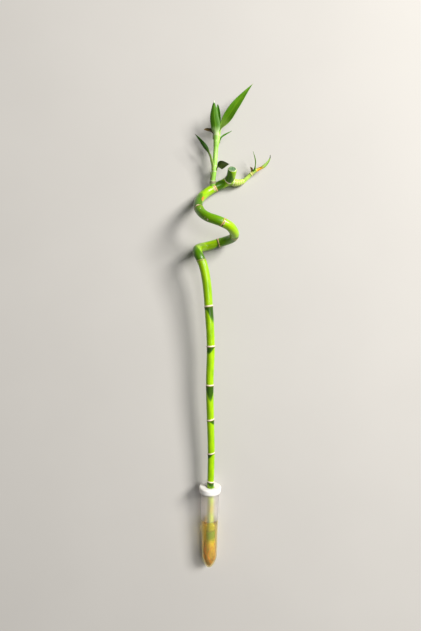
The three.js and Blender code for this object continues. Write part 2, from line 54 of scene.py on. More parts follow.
# Tube, cap and gel: heights are above the tube's tip
TUBE_TILT = 2.75
TUBE_LEAN = 0.65
TUBE_LENGTH = 123
TUBE_WALL = 1.2
TUBE_MOUTH_RADIUS = 13.7
TUBE_FOOT_RADIUS = 11.6
TUBE_FOOT_HEIGHT = 19
TUBE_TIP_POWERS = (1.5, 0.56)
TUBE_BEADS = (109, 111.3, 113.6)
TUBE_BEAD_RISE = 0.3
TUBE_BEAD_WIDTH = 0.5
TUBE_LIP_ROUND = (0.3, 0.4)
TUBE_STEPS = 96
TUBE_TIP_ROWS = 22
TUBE_SIDE_ROWS = 12
FIT_GAP = 0.3
CAP_HEIGHT = 9.3
CAP_PLATE = 2.2
CAP_TOP = TUBE_LENGTH + FIT_GAP + CAP_PLATE
CAP_RADIUS = 16.6
CAP_ROUND = 2.4
CAP_LOWER_ROUND = 2.2
CAP_TOP_LEVEL_FROM = 0.25
CAP_SLOT_RADIUS = 5.9
CAP_SLOT_END = (0.7, 4.0)
CAP_SLOT_TURN = 27
CAP_SLOT_SIDES = 48
CAP_SLOT_ROUND = 0.7
GEL_LEVEL = 72
GEL_FILM = 0.05
# How the gel's level sinks from the wall: distances from the wall, and depths
GEL_SINKS = ((0.8, 0.35), (2.5, 0.6))
# The cap lies on one of its flats: the radius to their corners, and how far they start from its top
CAP_FLATS = 24
CAP_FLAT_CORNER = 16.8
CAP_FLAT_START = 0.8

# Cane: lengths are from the cut in the tube
CANE_SIDES = 44
CANE_STEP = 1.2
CANE_RING_STEP = 0.22
CANE_FOOT_RADIUS = 4.95
CANE_COIL_RADIUS = 6.76
CANE_WIDENS = (100, 470)
CANE_CUT_ROUND = 0.6
CANE_UNEVEN = 0.12
# How far a ring stands proud on the straight and on the coil, where that changes, how uneven it is,
# and the share that is left of it in the tube, up to its mouth
RING_PROUD = (0.45, 0.28)
RING_PROUD_CHANGES = (440, 500)
RING_UNEVEN = 0.22
RING_IN_TUBE = 0.4
RING_TUBE_MOUTH = (90, 110)
RING_WIDTH = 0.62
# The swelling below a ring, the groove above it and the dark line under it: (place, width)
RING_SWELL = 0.4
RING_SWELL_AT = (-1.6, 1.7)
RING_GROOVE = 0.1
RING_GROOVE_AT = (1.7, 1.0)
RING_LINE_AT = (-1.05, 0.4)
RING_REACH = 3.0
RING_TINT_REACH = 4
SLANT_FADE = 7.0
# Dark patches, partly the skin's own darker green by the rings and partly painted shade on the coil
# and the stub: (depth, share of the reach on the far side) below a ring and above it, how far round
# that side is, and the shares of the reach where a patch fades
PATCH_BELOW = (0.85, 0.22)
PATCH_ABOVE = (0.65, 0.3)
PATCH_TURN = 100
PATCH_FADES = (0.6, 1.1)
FOOT_TONE = 0.1
TONE_CHANGES = (-0.5, 1.5)
SCAR_MOST = 1.3
# Along the cane: the yellow foot, the green in the gel, the stain above it, the wet skin and wet
# rings up to the tube's mouth, the stretch of tan rings and the orange sore round the largest scar
YELLOW_FOOT_ENDS = (27, 41)
GEL_GREEN_ENDS = (47, 55)
STAIN_PLACE = 84
STAIN_FADES = (9, 3)
WET_SKIN_ENDS = (112, 96)
WET_RINGS_END = (112, 100)
TAN_RINGS_FROM = (480, 530)
TAN_RINGS_TO = (720, 712)
SORE_PLACE = 662
SORE_FADES = (14, 10)
CANE_ROUTE = (
    (0.2, -108, 12.6), (0.5, -52, 16.4), (0.7, -2, 19.9), (1.9, 52, 22.8), (0.7, 102, 25.5),
    (-0.4, 154, 28.3), (1.2, 211, 31.3), (-2.0, 270, 34.4), (-5.1, 306, 36.8), (-10.6, 331, 39.0),
    (-16.8, 344, 38.5), (-19.0, 352, 29.5), (-15.6, 357, 17.5), (-7.5, 360.5, 7.4), (2.5, 363, 7.1),
    (13.0, 366, 8.2), (24.5, 368.5, 13.0), (33.0, 370.5, 22.5), (35.8, 373.2, 34.0),
    (33.6, 377, 46.0), (27.4, 381.8, 55.5), (17.4, 386, 60.5), (7.0, 389.8, 61.0),
    (-3.0, 393.8, 58.5), (-12.2, 402, 50.5), (-17.2, 414.5, 38.5), (-15.6, 427, 25.5),
    (-8.2, 438.2, 14.5), (1.0, 446.3, 8.8), (10.0, 451.8, 7.2), (18.7, 455.8, 7.2),
    (25.8, 459, 10.2), (30.0, 461.8, 16.0), (31.8, 465.4, 22.0), (32.8, 470.6, 29.5),
)
# Each ring: its place, the length of the dark patch below it (less than 0: above it) and the side
# where that patch reaches furthest, how dark the skin above the ring is, how bold the ring is, and
# how far it rises to the right for each millimetre across the cane. The patches and the darkness are
# partly the skin's own darker green and partly painted shade, on the coil and on the stub's left side.
Ring = namedtuple("Ring", "place patch side tone_above bold rise")
RINGS = [Ring(*row) for row in (
    (43.5, 6, 0, 0.35, -0.8, 0.16), (77.5, 5, 300, 0.1, -0.6, 0.16), (117, 10, 20, 0.06, 0, -0.12),
    (160, 9, 300, 0.1, 0, 0.16), (210.5, 8, 60, 0.06, 0.1, 0.16), (262, 25, 10, 0, 0.1, 0.02),
    (319.5, 12, 330, 0.05, 0.1, 0.04), (378.5, 27, 55, 0.1, 0.15, 0.08),
    (446, -26, 345, 0, -0.75, -0.25), (516.5, 14, 200, 0.42, -0.15, 0.16),
    (551.5, -6, 200, -0.15, -0.3, 0.16), (591.5, 4, 120, 0.38, -0.3, 0.16),
    (638.5, -40, 262, 0.12, -0.55, 0.16), (703.5, -24, 300, 0.12, 0.15, 0.16),
    (728, -30, 292, 0.1, 0.1, 0.16),
)]
# Scars and pale spots on the coil: length along, side, size along and across, and tint
SCARS = (
    (662.2, 313, 5.4, 1.3, 2.1), (639.5, 236, 1.5, 3.2, 0.9), (610, 172, 1.2, 1.4, 0.8),
    (613.8, 184, 0.9, 1.0, 0.7), (629, 245, 1.0, 1.2, 0.7), (632, 262, 0.8, 0.9, 0.6),
    (624, 228, 0.7, 0.8, 0.6), (589.6, 198, 1.0, 2.4, 0.6), (700, 322, 2.6, 3.0, 0.75),
    (701, 285, 2.0, 2.6, 0.7), (706, 250, 1.4, 2.0, 0.7), (520, 60, 0.8, 0.9, 0.6),
    (553, 250, 1.6, 3.0, 0.8),
)

# Roots: a place in the tube is (radius, height) from its axis and its tip, and a size is the thick
# and the thin radius and the number of sides
CALLUS_RADIUS = 4.6
CALLUS_FLATTENED = 0.55
CALLUS_LUMPS = 0.16
CALLUS_DROP = 2.4
ROOT_STEP = 1.1
ROOT_LUMPS = 0.18
ROOT_FROM_WALL = 2.0
LONG_ROOTS = 8
LONG_ROOT_SIZE = (0.9, 0.5, 10)
LONG_ROOT_TURN = (6.8, 13.0)
LONG_ROOT_FROM = 16.5
LONG_ROOT_REACH = (24, 48)
FINE_ROOTS = 100
FINE_ROOT_SIZE = (0.46, 0.24, 6)
FINE_ROOT_TURN = (6.2, 13.0)
FINE_ROOT_FROM = 16
FINE_ROOT_REACH = (20, 42)
LOW_ROOT_SHARE = 0.55
LOW_ROOT_HEIGHTS = (2.8, 7.5)

# Shoots: radii by length from where each starts inside the cane
SHOOT_SIDES = 32
SHOOT_STEP = 0.4
SHOOT_ROUTE = (
    (4.0, 449, 9.0), (4.4, 459, 12.6), (6.0, 471, 15.2), (7.4, 487, 17.2), (8.6, 503, 19.0),
    (9.6, 515, 20.8), (10.3, 525, 22.2),
)
SHOOT_PROFILE = (
    (0, 4.4), (6.4, 4.7), (7.2, 5.2), (7.9, 4.6), (8.8, 5.1), (9.7, 4.3), (10.6, 4.6), (11.6, 3.9),
    (13, 3.7), (23, 3.65), (24, 3.9), (25.2, 3.65), (31, 3.6), (32, 3.85), (33.2, 3.6), (50, 3.55),
    (58, 3.65), (68, 4.7), (76, 5.3), (78, 4.7), (83, 3.8),
)
SIDE_SHOOT_ROUTE = (
    (29.0, 459.0, 11.5), (36.0, 457.6, 9.0), (44.5, 458.4, 6.4), (51.0, 460.8, 5.2), (57.4, 466.2, 6.0),
    (63.2, 471.4, 8.0), (70.4, 475.8, 10.4), (75.0, 477.8, 11.6),
)
SIDE_SHOOT_PROFILE = (
    (0, 5.2), (8, 5.4), (9.2, 6.0), (10.4, 5.3), (11.8, 5.7), (13, 5.0), (14.6, 5.3), (15.8, 4.5),
    (18.6, 4.8), (19.8, 4.1), (22, 4.3), (23.4, 3.6), (26, 3.0), (37.5, 2.8), (39, 3.3), (40.5, 2.8),
    (48.6, 2.5), (50, 1.7), (55, 0.7),
)
# The crusty collar, the pale ring and the warm end of a shoot: (place, reach) along it
SHOOT_COLLAR = (8.4, 2.4)
SIDE_SHOOT_COLLAR = (6.4, 0.8)
SIDE_SHOOT_PALE = (41, 2.6)
SIDE_SHOOT_WARM = (51.8, 4.2)
NOWHERE = (-40, 1)
COLLAR_CRUST = 0.9
RIDGE_WIDTH = 0.9
SHOOT_UNEVEN = 0.035
SHOOT_FOOT_FADE = 18
WARM_SIDE = 60

# Leaves: where the foot lies on its stem (start to end along it, and the turn), how far round it
# clasps, the midrib's further points, the widths, the fold and twist, and the finish. clasp_to,
# blade_from, widest and twist_by are shares of the length.
LEAF_CLEAR = 0.15
LEAF_TIP_WIDTH = 0.7
LEAF_TIP_FROM = 0.985
LEAF_COLUMNS = 22
LEAF_ROW = 0.8
LEAF_WAVES = 5
LEAF_OPENS_OVER = 0.12
LEAF_EASES_OVER = 0.3
RIB_GROOVE = 0.3
RIB_WIDTH = 0.7
RIB_STARTS_OVER = 0.15
RIB_FULL_FROM_WIDTH = 6
# Each finish: its slot, the codes of foot, blade, light streaks and tip, the shares of the length
# where the pale foot ends and where the tip starts, and how dry it is
LEAF_FINISHES = {
    "bright leaf": ("leaf", "acd25a 427a02 729f04 a3ad74", 0.42, 0.97),
    "white tipped leaf": ("leaf", "c8e29c 3a7002 64960c e6ecd8", 0.36, 0.93),
    "deep green leaf": ("leaf", "a8c860 3c7a06 629c12 4a7a14", 0.3),
    "young leaf": ("leaf", "3c7a10 5c9a18 a4d04c 3f5a14"),
    "curled leaf": ("leaf", "f2aa14 98cc4c d0ec88 33480f", 0.52, 0.86),
    # The olive and brown leaves' near-black blades are partly their own dull colour and partly painted
    # shade
    "olive leaf in painted shade": ("dark_leaf", "7c9428 202e03 3a480b 463c14"),
    "brown leaf in painted shade": ("dark_leaf", "8a8428 3c2c06 5e4a12 6a4a1a"),
    "stalked leaf": ("dark_leaf", "a6c85c 1f4206 3a680c 2a330c", 0.62),
    "leaf scale": ("scale", "9ab860 6a8a34 a4bc70 7a6a3c", 0.36, 0.96, 0.3),
    "dry sheath": ("dry_sheath", "7e6434 4e3a1a 70562a 3c2a14", 0.36, 0.96, 0.8),
}
PLAIN_LEAF = dict(stem="shoot", foot=None, taper=1.9, ease=0, twist=0, twist_by=1, wave=0, thick=0.5)
LEAVES = (
    dict(node="big_leaf", start=75.6, end=82, turn=118, clasp=120, foot=5.0,
         path=((16.0, 533.8, 20.6), (20.1, 540.3, 22.6), (26.9, 549.8, 25.4), (35.3, 562, 27.4),
               (45.0, 575.4, 27.6), (54.6, 588, 26.2), (63.8, 600, 23.5)),
         stalk=7.4, clasp_to=0.03, blade_from=0.12, broad=16.6, widest=0.34, fold=34, twist=37,
         twist_by=0.3, ease=0.4, wave=0.35, finish="bright leaf"),
    dict(node="upright_leaf", start=75.6, end=82, turn=-32, clasp=130, foot=5.0,
         path=((7.8, 537, 27), (6.0, 548, 28.8), (5.6, 560.5, 29.8), (6.0, 572, 30)),
         stalk=9.6, clasp_to=0.03, blade_from=0.08, broad=14.4, widest=0.42, fold=70, twist=17,
         twist_by=0.2, finish="white tipped leaf"),
    dict(node="rear_leaf", start=77.4, end=82, turn=165, clasp=100, foot=1.6,
         path=((12.6, 540, 23.2), (12.4, 554, 24.0), (11.4, 569, 24.4)),
         stalk=3.0, clasp_to=0.05, blade_from=0.2, broad=7.4, widest=0.5, fold=70, taper=1.3,
         thick=0.45, finish="deep green leaf"),
    dict(node="short_left_leaf", start=71, end=74, turn=-140, clasp=80,
         path=((5.6, 528.4, 17.0), (2.4, 532.4, 17.9), (-3.0, 533.5, 18.5), (-8.8, 533.8, 18.8)),
         stalk=4.4, clasp_to=0.12, blade_from=0.35, broad=7.4, widest=0.6, fold=30, taper=1.2,
         thick=0.45, finish="brown leaf in painted shade"),
    dict(node="small_right_leaf", start=66, end=69, turn=132, clasp=80,
         path=((18.2, 523.4, 17.8), (24.8, 527.2, 18.8), (32.8, 531.6, 19.4)),
         stalk=3.4, clasp_to=0.12, blade_from=0.35, broad=4.0, widest=0.4, fold=50,
         thick=0.45, finish="deep green leaf"),
    dict(node="left_lower_leaf", start=25.6, end=31, turn=-80, clasp=140,
         path=((1.2, 486, 18.6), (0.1, 493, 20), (-2.2, 499.2, 21), (-5.8, 505.0, 22),
               (-12.3, 513.6, 23), (-21.9, 525.6, 21.5)),
         stalk=3.6, clasp_to=0.1, blade_from=0.45, broad=5.8, widest=0.42, fold=50, twist=55,
         twist_by=0.6, wave=0.8, finish="stalked leaf"),
    dict(node="dark_right_leaf", start=26.6, end=29.6, turn=88, clasp=84,
         path=((14.0, 479.6, 17.2), (17.6, 480.9, 18.0), (22.4, 481.6, 18.6), (29.2, 482.2, 18.8)),
         stalk=6.6, clasp_to=0.06, blade_from=0.22, broad=13.6, widest=0.3, fold=40, twist=72,
         twist_by=0.5, finish="olive leaf in painted shade"),
    dict(node="base_scale", start=12.4, end=16, turn=-75, clasp=110,
         path=((0.8, 469, 16.2), (-0.2, 473.0, 17.2)),
         stalk=4.4, clasp_to=0.3, blade_from=0.5, broad=3.4, widest=0.3, fold=60,
         finish="leaf scale"),
    dict(node="side_tip_leaf", stem="side_shoot", start=48.9, end=52.5, turn=180, clasp=150, foot=2.15,
         path=((80.4, 480.4, 12.2), (85.8, 484.8, 14.4), (89.6, 490.4, 17), (90.2, 495.4, 19.6)),
         stalk=4.6, clasp_to=0.06, blade_from=0.3, broad=4.8, widest=0.3, fold=120,
         thick=0.45, finish="curled leaf"),
    dict(node="side_upright_leaf", stem="side_shoot", start=44, end=46, turn=-70, clasp=110,
         path=((68.2, 484.4, 14), (67.4, 492, 15.6), (64.6, 502.5, 16.4)),
         stalk=3.4, clasp_to=0.1, blade_from=0.3, broad=3.2, widest=0.4, fold=90,
         thick=0.45, finish="young leaf"),
    dict(node="side_dry_sheath", stem="side_shoot", start=40.8, end=42, turn=-120, clasp=110,
         path=((62.8, 477.8, 8.6), (61.0, 481.4, 9.4)),
         stalk=5.2, clasp_to=0.2, blade_from=0.4, broad=5.4, widest=0.4, fold=80,
         finish="dry sheath"),
)

# Cut seal: its outline is (share of the radius, share of the thickness)
SEAL_RADIUS = 6.2
SEAL_THICKNESS = 0.85
SEAL_GAP = FIT_GAP * 0.2
SEAL_OUTLINE = (
    (0, 0), (0.5, 0), (0.9, 0), (0.98, 0.1), (1, 0.35), (0.97, 0.7), (0.9, 0.92),
    *[(0.9 - 0.09 * i, 0.96) for i in range(1, 10)], (0, 0.96),
)
SEAL_TOP_FROM = 0.9
SEAL_LUMPS = 0.16
SEAL_DISH = 0.22
SEAL_SINK = 0.2
SEAL_SIDES = 48

# Camera
CAMERA_PLACE = (0.75, 255.63, 648.5)
CAMERA_FOCUS_PIXELS = 421
FRAME_LONG_SIDE_PIXELS = 631
SENSOR_WIDTH = 36

# Stage, in metres and watts. Each light has a place, a size, a power and a tint.
TABLE_SIZE = 4
TABLE_DROP = 0.05 * MM
LIGHTS_AIM = (0, 0, 0.03)
LIGHTS = {
    "key": ((2.3, 1.45, 2.1), 1.25, 178, (1, 0.98, 0.95)),
    "fill": ((0.9, 0.3, 2.5), 1.2, 26, (1, 1, 1)),
}
STUDIO_TINT = (1, 0.99, 0.97, 1)
STUDIO_STRENGTH = 0.1


def smooth(value, low, high):
    share = min(max((value - low) / (high - low), 0), 1)
    return share * share * (3 - 2 * share)


def lerp(low, high, share):
    return low + (high - low) * share


def hump(value, middle, width):
    """A smooth bump, 1 at its middle."""
    return exp(-((value - middle) / width) ** 2)


def turn_between(turn, side):
    """The turn from a side of a stem, from -180 to 180."""
    return (turn - side + 180) % 360 - 180


def skin_noise(turn, along, around, lengthwise):
    """Noise from -1 to 1 on a round stem, at a pace around it and a pace along it."""
    angle = radians(turn)
    place = (around * sin(angle), around * cos(angle), along * lengthwise)
    return noise.noise(Vector(place))


# Routes

def curve_through(points, steps=40, reach=10):
    """Closely spaced points on the centripetal Catmull-Rom curve through the given points, each
    averaged with its neighbours so that the bend changes evenly."""
    knots = [Vector(point) for point in points]
    knots = [knots[0] * 2 - knots[1], *knots, knots[-1] * 2 - knots[-2]]
    line = []
    for a, b, c, d in zip(knots, knots[1:], knots[2:], knots[3:]):
        before, within, after = [sqrt((q - p).length) for p, q in ((a, b), (b, c), (c, d))]
        leave = ((b - a) / before - (c - a) / (before + within) + (c - b) / within) * within
        arrive = ((c - b) / within - (d - b) / (within + after) + (d - c) / after) * within
        for step in range(steps):
            w = step / steps
            line.append(b * (2 * w ** 3 - 3 * w * w + 1) + leave * (w ** 3 - 2 * w * w + w)
                        + c * (3 * w * w - 2 * w ** 3) + arrive * (w ** 3 - w * w))
    line.append(knots[-2])
    near = [min(i, len(line) - 1 - i, reach) for i in range(len(line))]
    return [sum(line[i - n:i + n + 1], Vector()) / (2 * n + 1) for i, n in enumerate(near)]


class Route:
    """A smooth line with a frame that doesn't twist along it; it runs on straight past its ends."""

    def __init__(self, points, face=(0, 0, 1)):
        self.line = curve_through(points)
        self.places = [0.0]
        for p, q in zip(self.line, self.line[1:]):
            self.places.append(self.places[-1] + (q - p).length)
        self.length = self.places[-1]
        ahead = self.line[1:] + [self.line[-1]]
        behind = [self.line[0]] + self.line[:-1]
        self.tangents = [(q - p).normalized() for p, q in zip(behind, ahead)]
        self.normals = []
        normal = Vector(face)
        for tangent in self.tangents:
            normal = (normal - tangent * normal.dot(tangent)).normalized()
            self.normals.append(normal)

    def at(self, along):
        place = min(max(along, 0), self.length)
        low = min(bisect_right(self.places, place) - 1, len(self.places) - 2)
        high = low + 1
        share = (place - self.places[low]) / (self.places[high] - self.places[low])
        tangent = self.tangents[low].lerp(self.tangents[high], share).normalized()
        normal = self.normals[low].lerp(self.normals[high], share)
        normal = (normal - tangent * normal.dot(tangent)).normalized()
        point = self.line[low].lerp(self.line[high], share) + tangent * (along - place)
        return point, tangent, normal, tangent.cross(normal)

    def outward(self, along, turn):
        _, _, normal, side = self.at(along)
        return normal * cos(radians(turn)) + side * sin(radians(turn))


# Meshes

def add_grid(bm, columns, rows, place):
    """Faces in columns and rows, whose corners go where place(corner, column share, row) says."""
    grid = bmesh.ops.create_grid(bm, x_segments=columns, y_segments=rows, size=0.5)
    for corner in grid["verts"]:
        corner.co = place(corner, corner.co.x + 0.5, round((corner.co.y + 0.5) * rows))


def corner_layer(layers, name):
    return layers.get(name) or layers.new(name)


def add_stem(bm, route, stations, sides, radius_at, shift_at=None, notes=None):
    """A closed round stem. stations are (length along, share of the radius), from pole to pole.
    notes(along, turn) gives values for the corners' own layers, by layer name."""
    skin = corner_layer(bm.verts.layers.float_vector, "skin")
    names = notes(0, 0) if notes else ()
    layers = {name: corner_layer(bm.verts.layers.float, name) for name in names}

    def place(corner, share, row):
        along, part = stations[row]
        angle = 2 * pi * share
        turn = degrees(angle)
        radius = radius_at(along, turn) * part
        across, up = radius * sin(angle), radius * cos(angle)
        corner[skin] = (across, up, along)
        if notes:
            for name, value in notes(along, turn).items():
                corner[layers[name]] = value
        shift = shift_at(along, across) if shift_at else 0
        point, _, normal, side = route.at(along + shift)
        return point + side * across + normal * up

    add_grid(bm, sides, len(stations) - 1, place)


def add_turned(bm, profile):
    """A solid of revolution about +Y from (radius, height) points."""
    corners = [bm.verts.new((radius, height, 0)) for radius, height in profile]
    edges = [bm.edges.new(pair) for pair in zip(corners, corners[1:])]
    bmesh.ops.spin(bm, geom=corners + edges, cent=(0, 0, 0), axis=(0, 1, 0), angle=2 * pi,
                   steps=TUBE_STEPS, use_merge=True, use_duplicate=False)


def new_mesh(name, bm):
    mesh = bpy.data.meshes.new(name)
    bm.to_mesh(mesh)
    bm.free()
    return mesh


def new_object(name, data):
    """An object in the scene, for a mesh, a lamp or a camera."""
    made = bpy.data.objects.new(name, data)
    bpy.context.scene.collection.objects.link(made)
    return made


def turned(turn, axis):
    return Matrix.Rotation(radians(turn), 4, axis)


def finish_piece(name, bm, material, node_name, place=BENCH):
    """Closes a mesh, brings it from the bench to the frame and lets it stand for a CAD node."""
    bmesh.ops.transform(bm, matrix=place, verts=bm.verts)
    bmesh.ops.remove_doubles(bm, verts=bm.verts, dist=MERGE_DISTANCE * MM)
    bmesh.ops.recalc_face_normals(bm, faces=bm.faces)
    mesh = new_mesh(name, bm)
    mesh.shade_smooth()
    mesh.materials.append(material)
    piece = new_object(name, mesh)
    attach(piece, "root")
    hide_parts(node_name)
    return piece


# Node trees

def colour(code):
    """A colour from its six hexadecimal digits."""
    shares = [int(code[i:i + 2], 16) / 255 for i in (0, 2, 4)]
    return tuple(s / 12.92 if s < 0.04045 else ((s + 0.055) / 1.055) ** 2.4 for s in shares) + (1,)


def node(tree, kind, inputs=None, **settings):
    made = tree.nodes.new(kind if kind.startswith("Node") else "ShaderNode" + kind)
    for name, value in settings.items():
        setattr(made, name, value)
    for name, value in (inputs or {}).items():
        if isinstance(value, bpy.types.NodeSocket):
            tree.links.new(value, made.inputs[name])
        else:
            made.inputs[name].default_value = value
    return made


def maths(operation, first, second=0.0):
    return node(first.id_data, "Math", {0: first, 1: second}, operation=operation).outputs[0]


def times(first, second):
    return maths("MULTIPLY", first, second)


def distance_from(value, place):
    return maths("ABSOLUTE", maths("ADD", value, -place))


def weighted(*terms, base=0.0):
    """The sum of (value, weight) terms and a base."""
    total = base
    for value, weight in terms:
        part = value if weight == 1 else times(value, weight)
        total = maths("ADD", part, total)
    return total


def ragged(value, grain, amount):
    """A value whose edges a grain breaks up."""
    return weighted((value, 1), (grain, amount), base=-amount / 2)


def span(value, low, high):
    """0 at low, 1 at high and smooth between; low may be the larger."""
    inputs = {"Value": value, "From Min": low, "From Max": high}
    return node(value.id_data, "MapRange", inputs, interpolation_type="SMOOTHSTEP").outputs["Result"]


def mixed(share, first, second):
    """Two colours, given as sockets or as codes, mixed by a share of the second."""
    first, second = [colour(tone) if isinstance(tone, str) else tone for tone in (first, second)]
    return node(share.id_data, "Mix", {0: share, 6: first, 7: second}, data_type="RGBA").outputs[2]


def faded(value, low, high, first, second):
    """One colour at low and the other at high, smooth between."""
    return mixed(span(value, low, high), first, second)


def noise_value(vector, scale, detail=3.0, roughness=0.5):
    inputs = {"Vector": vector, "Scale": scale, "Detail": detail, "Roughness": roughness}
    return node(vector.id_data, "TexNoise", inputs).outputs["Fac"]


def stretched(vector, scale):
    return node(vector.id_data, "Mapping", {"Vector": vector, "Scale": scale}).outputs["Vector"]


def object_place(tree):
    return node(tree, "TexCoord").outputs["Object"]


def part_of(vector, axis):
    return node(vector.id_data, "SeparateXYZ", {0: vector}).outputs[axis]


def layer(tree, name, output="Fac"):
    return node(tree, "Attribute", attribute_name=name).outputs[output]


def new_group(name):
    """A node group that gives a strength for a place on a skin and a pace per millimetre."""
    tree = bpy.data.node_groups.new(name, "ShaderNodeTree")
    sockets = (("Place", "INPUT", "Vector"), ("Pace", "INPUT", "Float"), ("Strength", "OUTPUT", "Float"))
    for label, way, kind in sockets:
        tree.interface.new_socket(label, in_out=way, socket_type="NodeSocket" + kind)
    given = node(tree, "NodeGroupInput").outputs
    return tree, given["Place"], given["Pace"], node(tree, "NodeGroupOutput").inputs["Strength"]


def stem_fibres():
    """Fine streaks that run along a stem, from 0 to 1."""
    tree, skin, pace, strength = new_group("stem fibres")
    coarse = noise_value(stretched(skin, (1, 1, 0.05)), pace)
    fine = noise_value(stretched(skin, (1, 1, 0.03)), times(pace, 3.5))
    tree.links.new(weighted((coarse, 0.6), (fine, 0.4)), strength)
    return tree


def leaf_veins():
    """Parallel veins across a blade, from 0 between them to 1 on them."""
    tree, blade, pace, strength = new_group("leaf veins")
    wander = noise_value(stretched(blade, (0.6, 0.08, 1)), 1.0)
    across = weighted((part_of(blade, "X"), 1), (wander, 0.8))
    turns = times(times(across, pace), 2 * pi)
    wave = weighted((maths("SINE", turns), 0.5), base=0.5)
    tree.links.new(maths("POWER", wave, 2.0), strength)
    return tree


STEM_FIBRES = stem_fibres()
LEAF_VEINS = leaf_veins()


def pattern(group, place, pace):
    return node(place.id_data, "Group", {0: place, 1: pace}, node_tree=group).outputs[0]


def new_material(name, values):
    """A material, its node tree and its Principled shader, with plain values set on the shader."""
    material = bpy.data.materials.new(name)
    material.use_nodes = True
    shader = material.node_tree.nodes["Principled BSDF"]
    for label, value in values.items():
        shader.inputs[label].default_value = value
    return material, material.node_tree, shader


def soft_flesh(weight, depth, spread=(0.6, 1.0, 0.25)):
    """Shader values for light that spreads under a skin, to a depth in millimetres."""
    return {"Subsurface Weight": weight, "Subsurface Scale": depth * MM, "Subsurface Radius": spread}


def dress(shader, base, roughness, height=None, relief=0.1, strength=0.6):
    """Joins colour, roughness and relief, in millimetres, to a shader."""
    links = shader.id_data.links
    links.new(base, shader.inputs["Base Color"])
    links.new(roughness, shader.inputs["Roughness"])
    if height is not None:
        inputs = {"Height": height, "Distance": relief * MM, "Strength": strength}
        links.new(node(shader.id_data, "Bump", inputs).outputs["Normal"], shader.inputs["Normal"])


# Materials

def cane_material():
    waxy = {"Coat Weight": 0.42, "Coat Roughness": 0.15, "Specular IOR Level": 0.22}
    material, tree, shader = new_material("living cane", {**soft_flesh(0.06, 1.2), **waxy})
    skin = layer(tree, "skin", "Vector")
    along = part_of(skin, "Z")
    fibres = pattern(STEM_FIBRES, skin, 0.9)
    mottle = noise_value(stretched(skin, (1, 1, 0.3)), 0.22, 4)
    speckle = noise_value(skin, 1.1, 4, 0.6)
    green = faded(mottle, 0.3, 0.7, "8aba00", "aad600")
    # The shade layer darkens the green: partly the skin's own darker patches, partly painted shade on the
    # coil and the stub
    shade = weighted((layer(tree, "shade"), 1), (fibres, 0.45), (mottle, 0.25), base=-0.35)
    body = faded(shade, 0.0, 0.5, green, "568a00")
    body = faded(shade, 0.4, 0.95, body, "2e5400")
    foot = weighted((along, 1), (mottle, 14), (fibres, 8), base=-4)
    wet = faded(foot, *YELLOW_FOOT_ENDS, "dccb4c", "568c0c")
    wet = faded(foot, *GEL_GREEN_ENDS, wet, "9fae36")
    stain = span(distance_from(foot, STAIN_PLACE), *STAIN_FADES)
    wet = mixed(times(stain, 0.7), wet, "a08436")
    body = faded(along, *WET_SKIN_ENDS, body, wet)
    edge = ragged(layer(tree, "ring"), speckle, 0.9)
    blush = mixed(times(span(edge, 2.4, 0.9), 0.4), body, "b9a94c")
    lined = mixed(times(layer(tree, "under"), 0.75), blush, "5a4018")
    cream = faded(speckle, 0.35, 0.65, "ecd3b0", "f8f0de")
    tan = faded(speckle, 0.35, 0.65, "c98f58", "eec890")
    warmth = times(span(along, *TAN_RINGS_FROM), span(along, *TAN_RINGS_TO))
    band = mixed(warmth, cream, tan)
    band = faded(along, *WET_RINGS_END, band, "b3a45a")
    ringed = faded(edge, 0.95, 0.6, lined, band)
    scar = ragged(layer(tree, "scar"), speckle, 0.6)
    cork = faded(speckle, 0.38, 0.56, "a0703c", "efd6b4")
    sore = span(distance_from(along, SORE_PLACE), *SORE_FADES)
    cork = mixed(sore, cork, mixed(speckle, "b86a1c", "e09038"))
    marked = faded(scar, 0.25, 0.5, ringed, cork)
    dots = span(noise_value(stretched(skin, (1, 1, 0.6)), 4.5, 2), 0.70, 0.78)
    base = mixed(times(dots, 0.3), marked, "d9e07a")
    rough = weighted((fibres, 0.16), (span(edge, 1.2, 0.4), 0.2), base=0.3)
    relief = weighted((fibres, 0.5), (speckle, 0.35), (scar, 0.3))
    dress(shader, base, rough, relief, 0.22, 0.5)
    return material


def shoot_material(name, foot_to, codes):
    """Pale stem skin in fine streaks, deeper green at its foot; its raised rings are dry, and one end
    may be warm. codes are the two greens, the rings, the warm end and the collar's two."""
    low, high, ring_code, warm_code, *dry_codes = codes.split()
    material, tree, shader = new_material(name, {**soft_flesh(0.1, 1.0), "Coat Weight": 0.06})
    skin = layer(tree, "skin", "Vector")
    fibres = pattern(STEM_FIBRES, skin, 1.4)
    mottle = noise_value(stretched(skin, (1, 1, 0.3)), 0.35)
    speckle = noise_value(skin, 1.6, 4, 0.65)
    tone = weighted((fibres, 0.6), (mottle, 0.4))
    green = faded(tone, 0.38, 0.62, low, high)
    along = part_of(skin, "Z")
    green = mixed(times(span(along, foot_to, foot_to - SHOOT_FOOT_FADE), 0.65), green, low)
    worn = ragged(layer(tree, "ridge"), speckle, 1.3)
    ringed = faded(worn, 0.35, 0.75, green, ring_code)
    collar = ragged(layer(tree, "collar"), speckle, 0.9)
    dry = faded(speckle, 0.4, 0.6, *dry_codes)
    ringed = faded(collar, 0.35, 0.6, ringed, dry)
    warm = ragged(layer(tree, "warm"), speckle, 0.9)
    base = faded(warm, 0.2, 0.8, ringed, warm_code)
    rough = weighted((tone, 0.2), (collar, 0.2), base=0.3)
    relief = weighted((fibres, 0.6), (speckle, 0.4), (collar, 0.8))
    dress(shader, base, rough, relief, 0.14, 0.6)
    return material


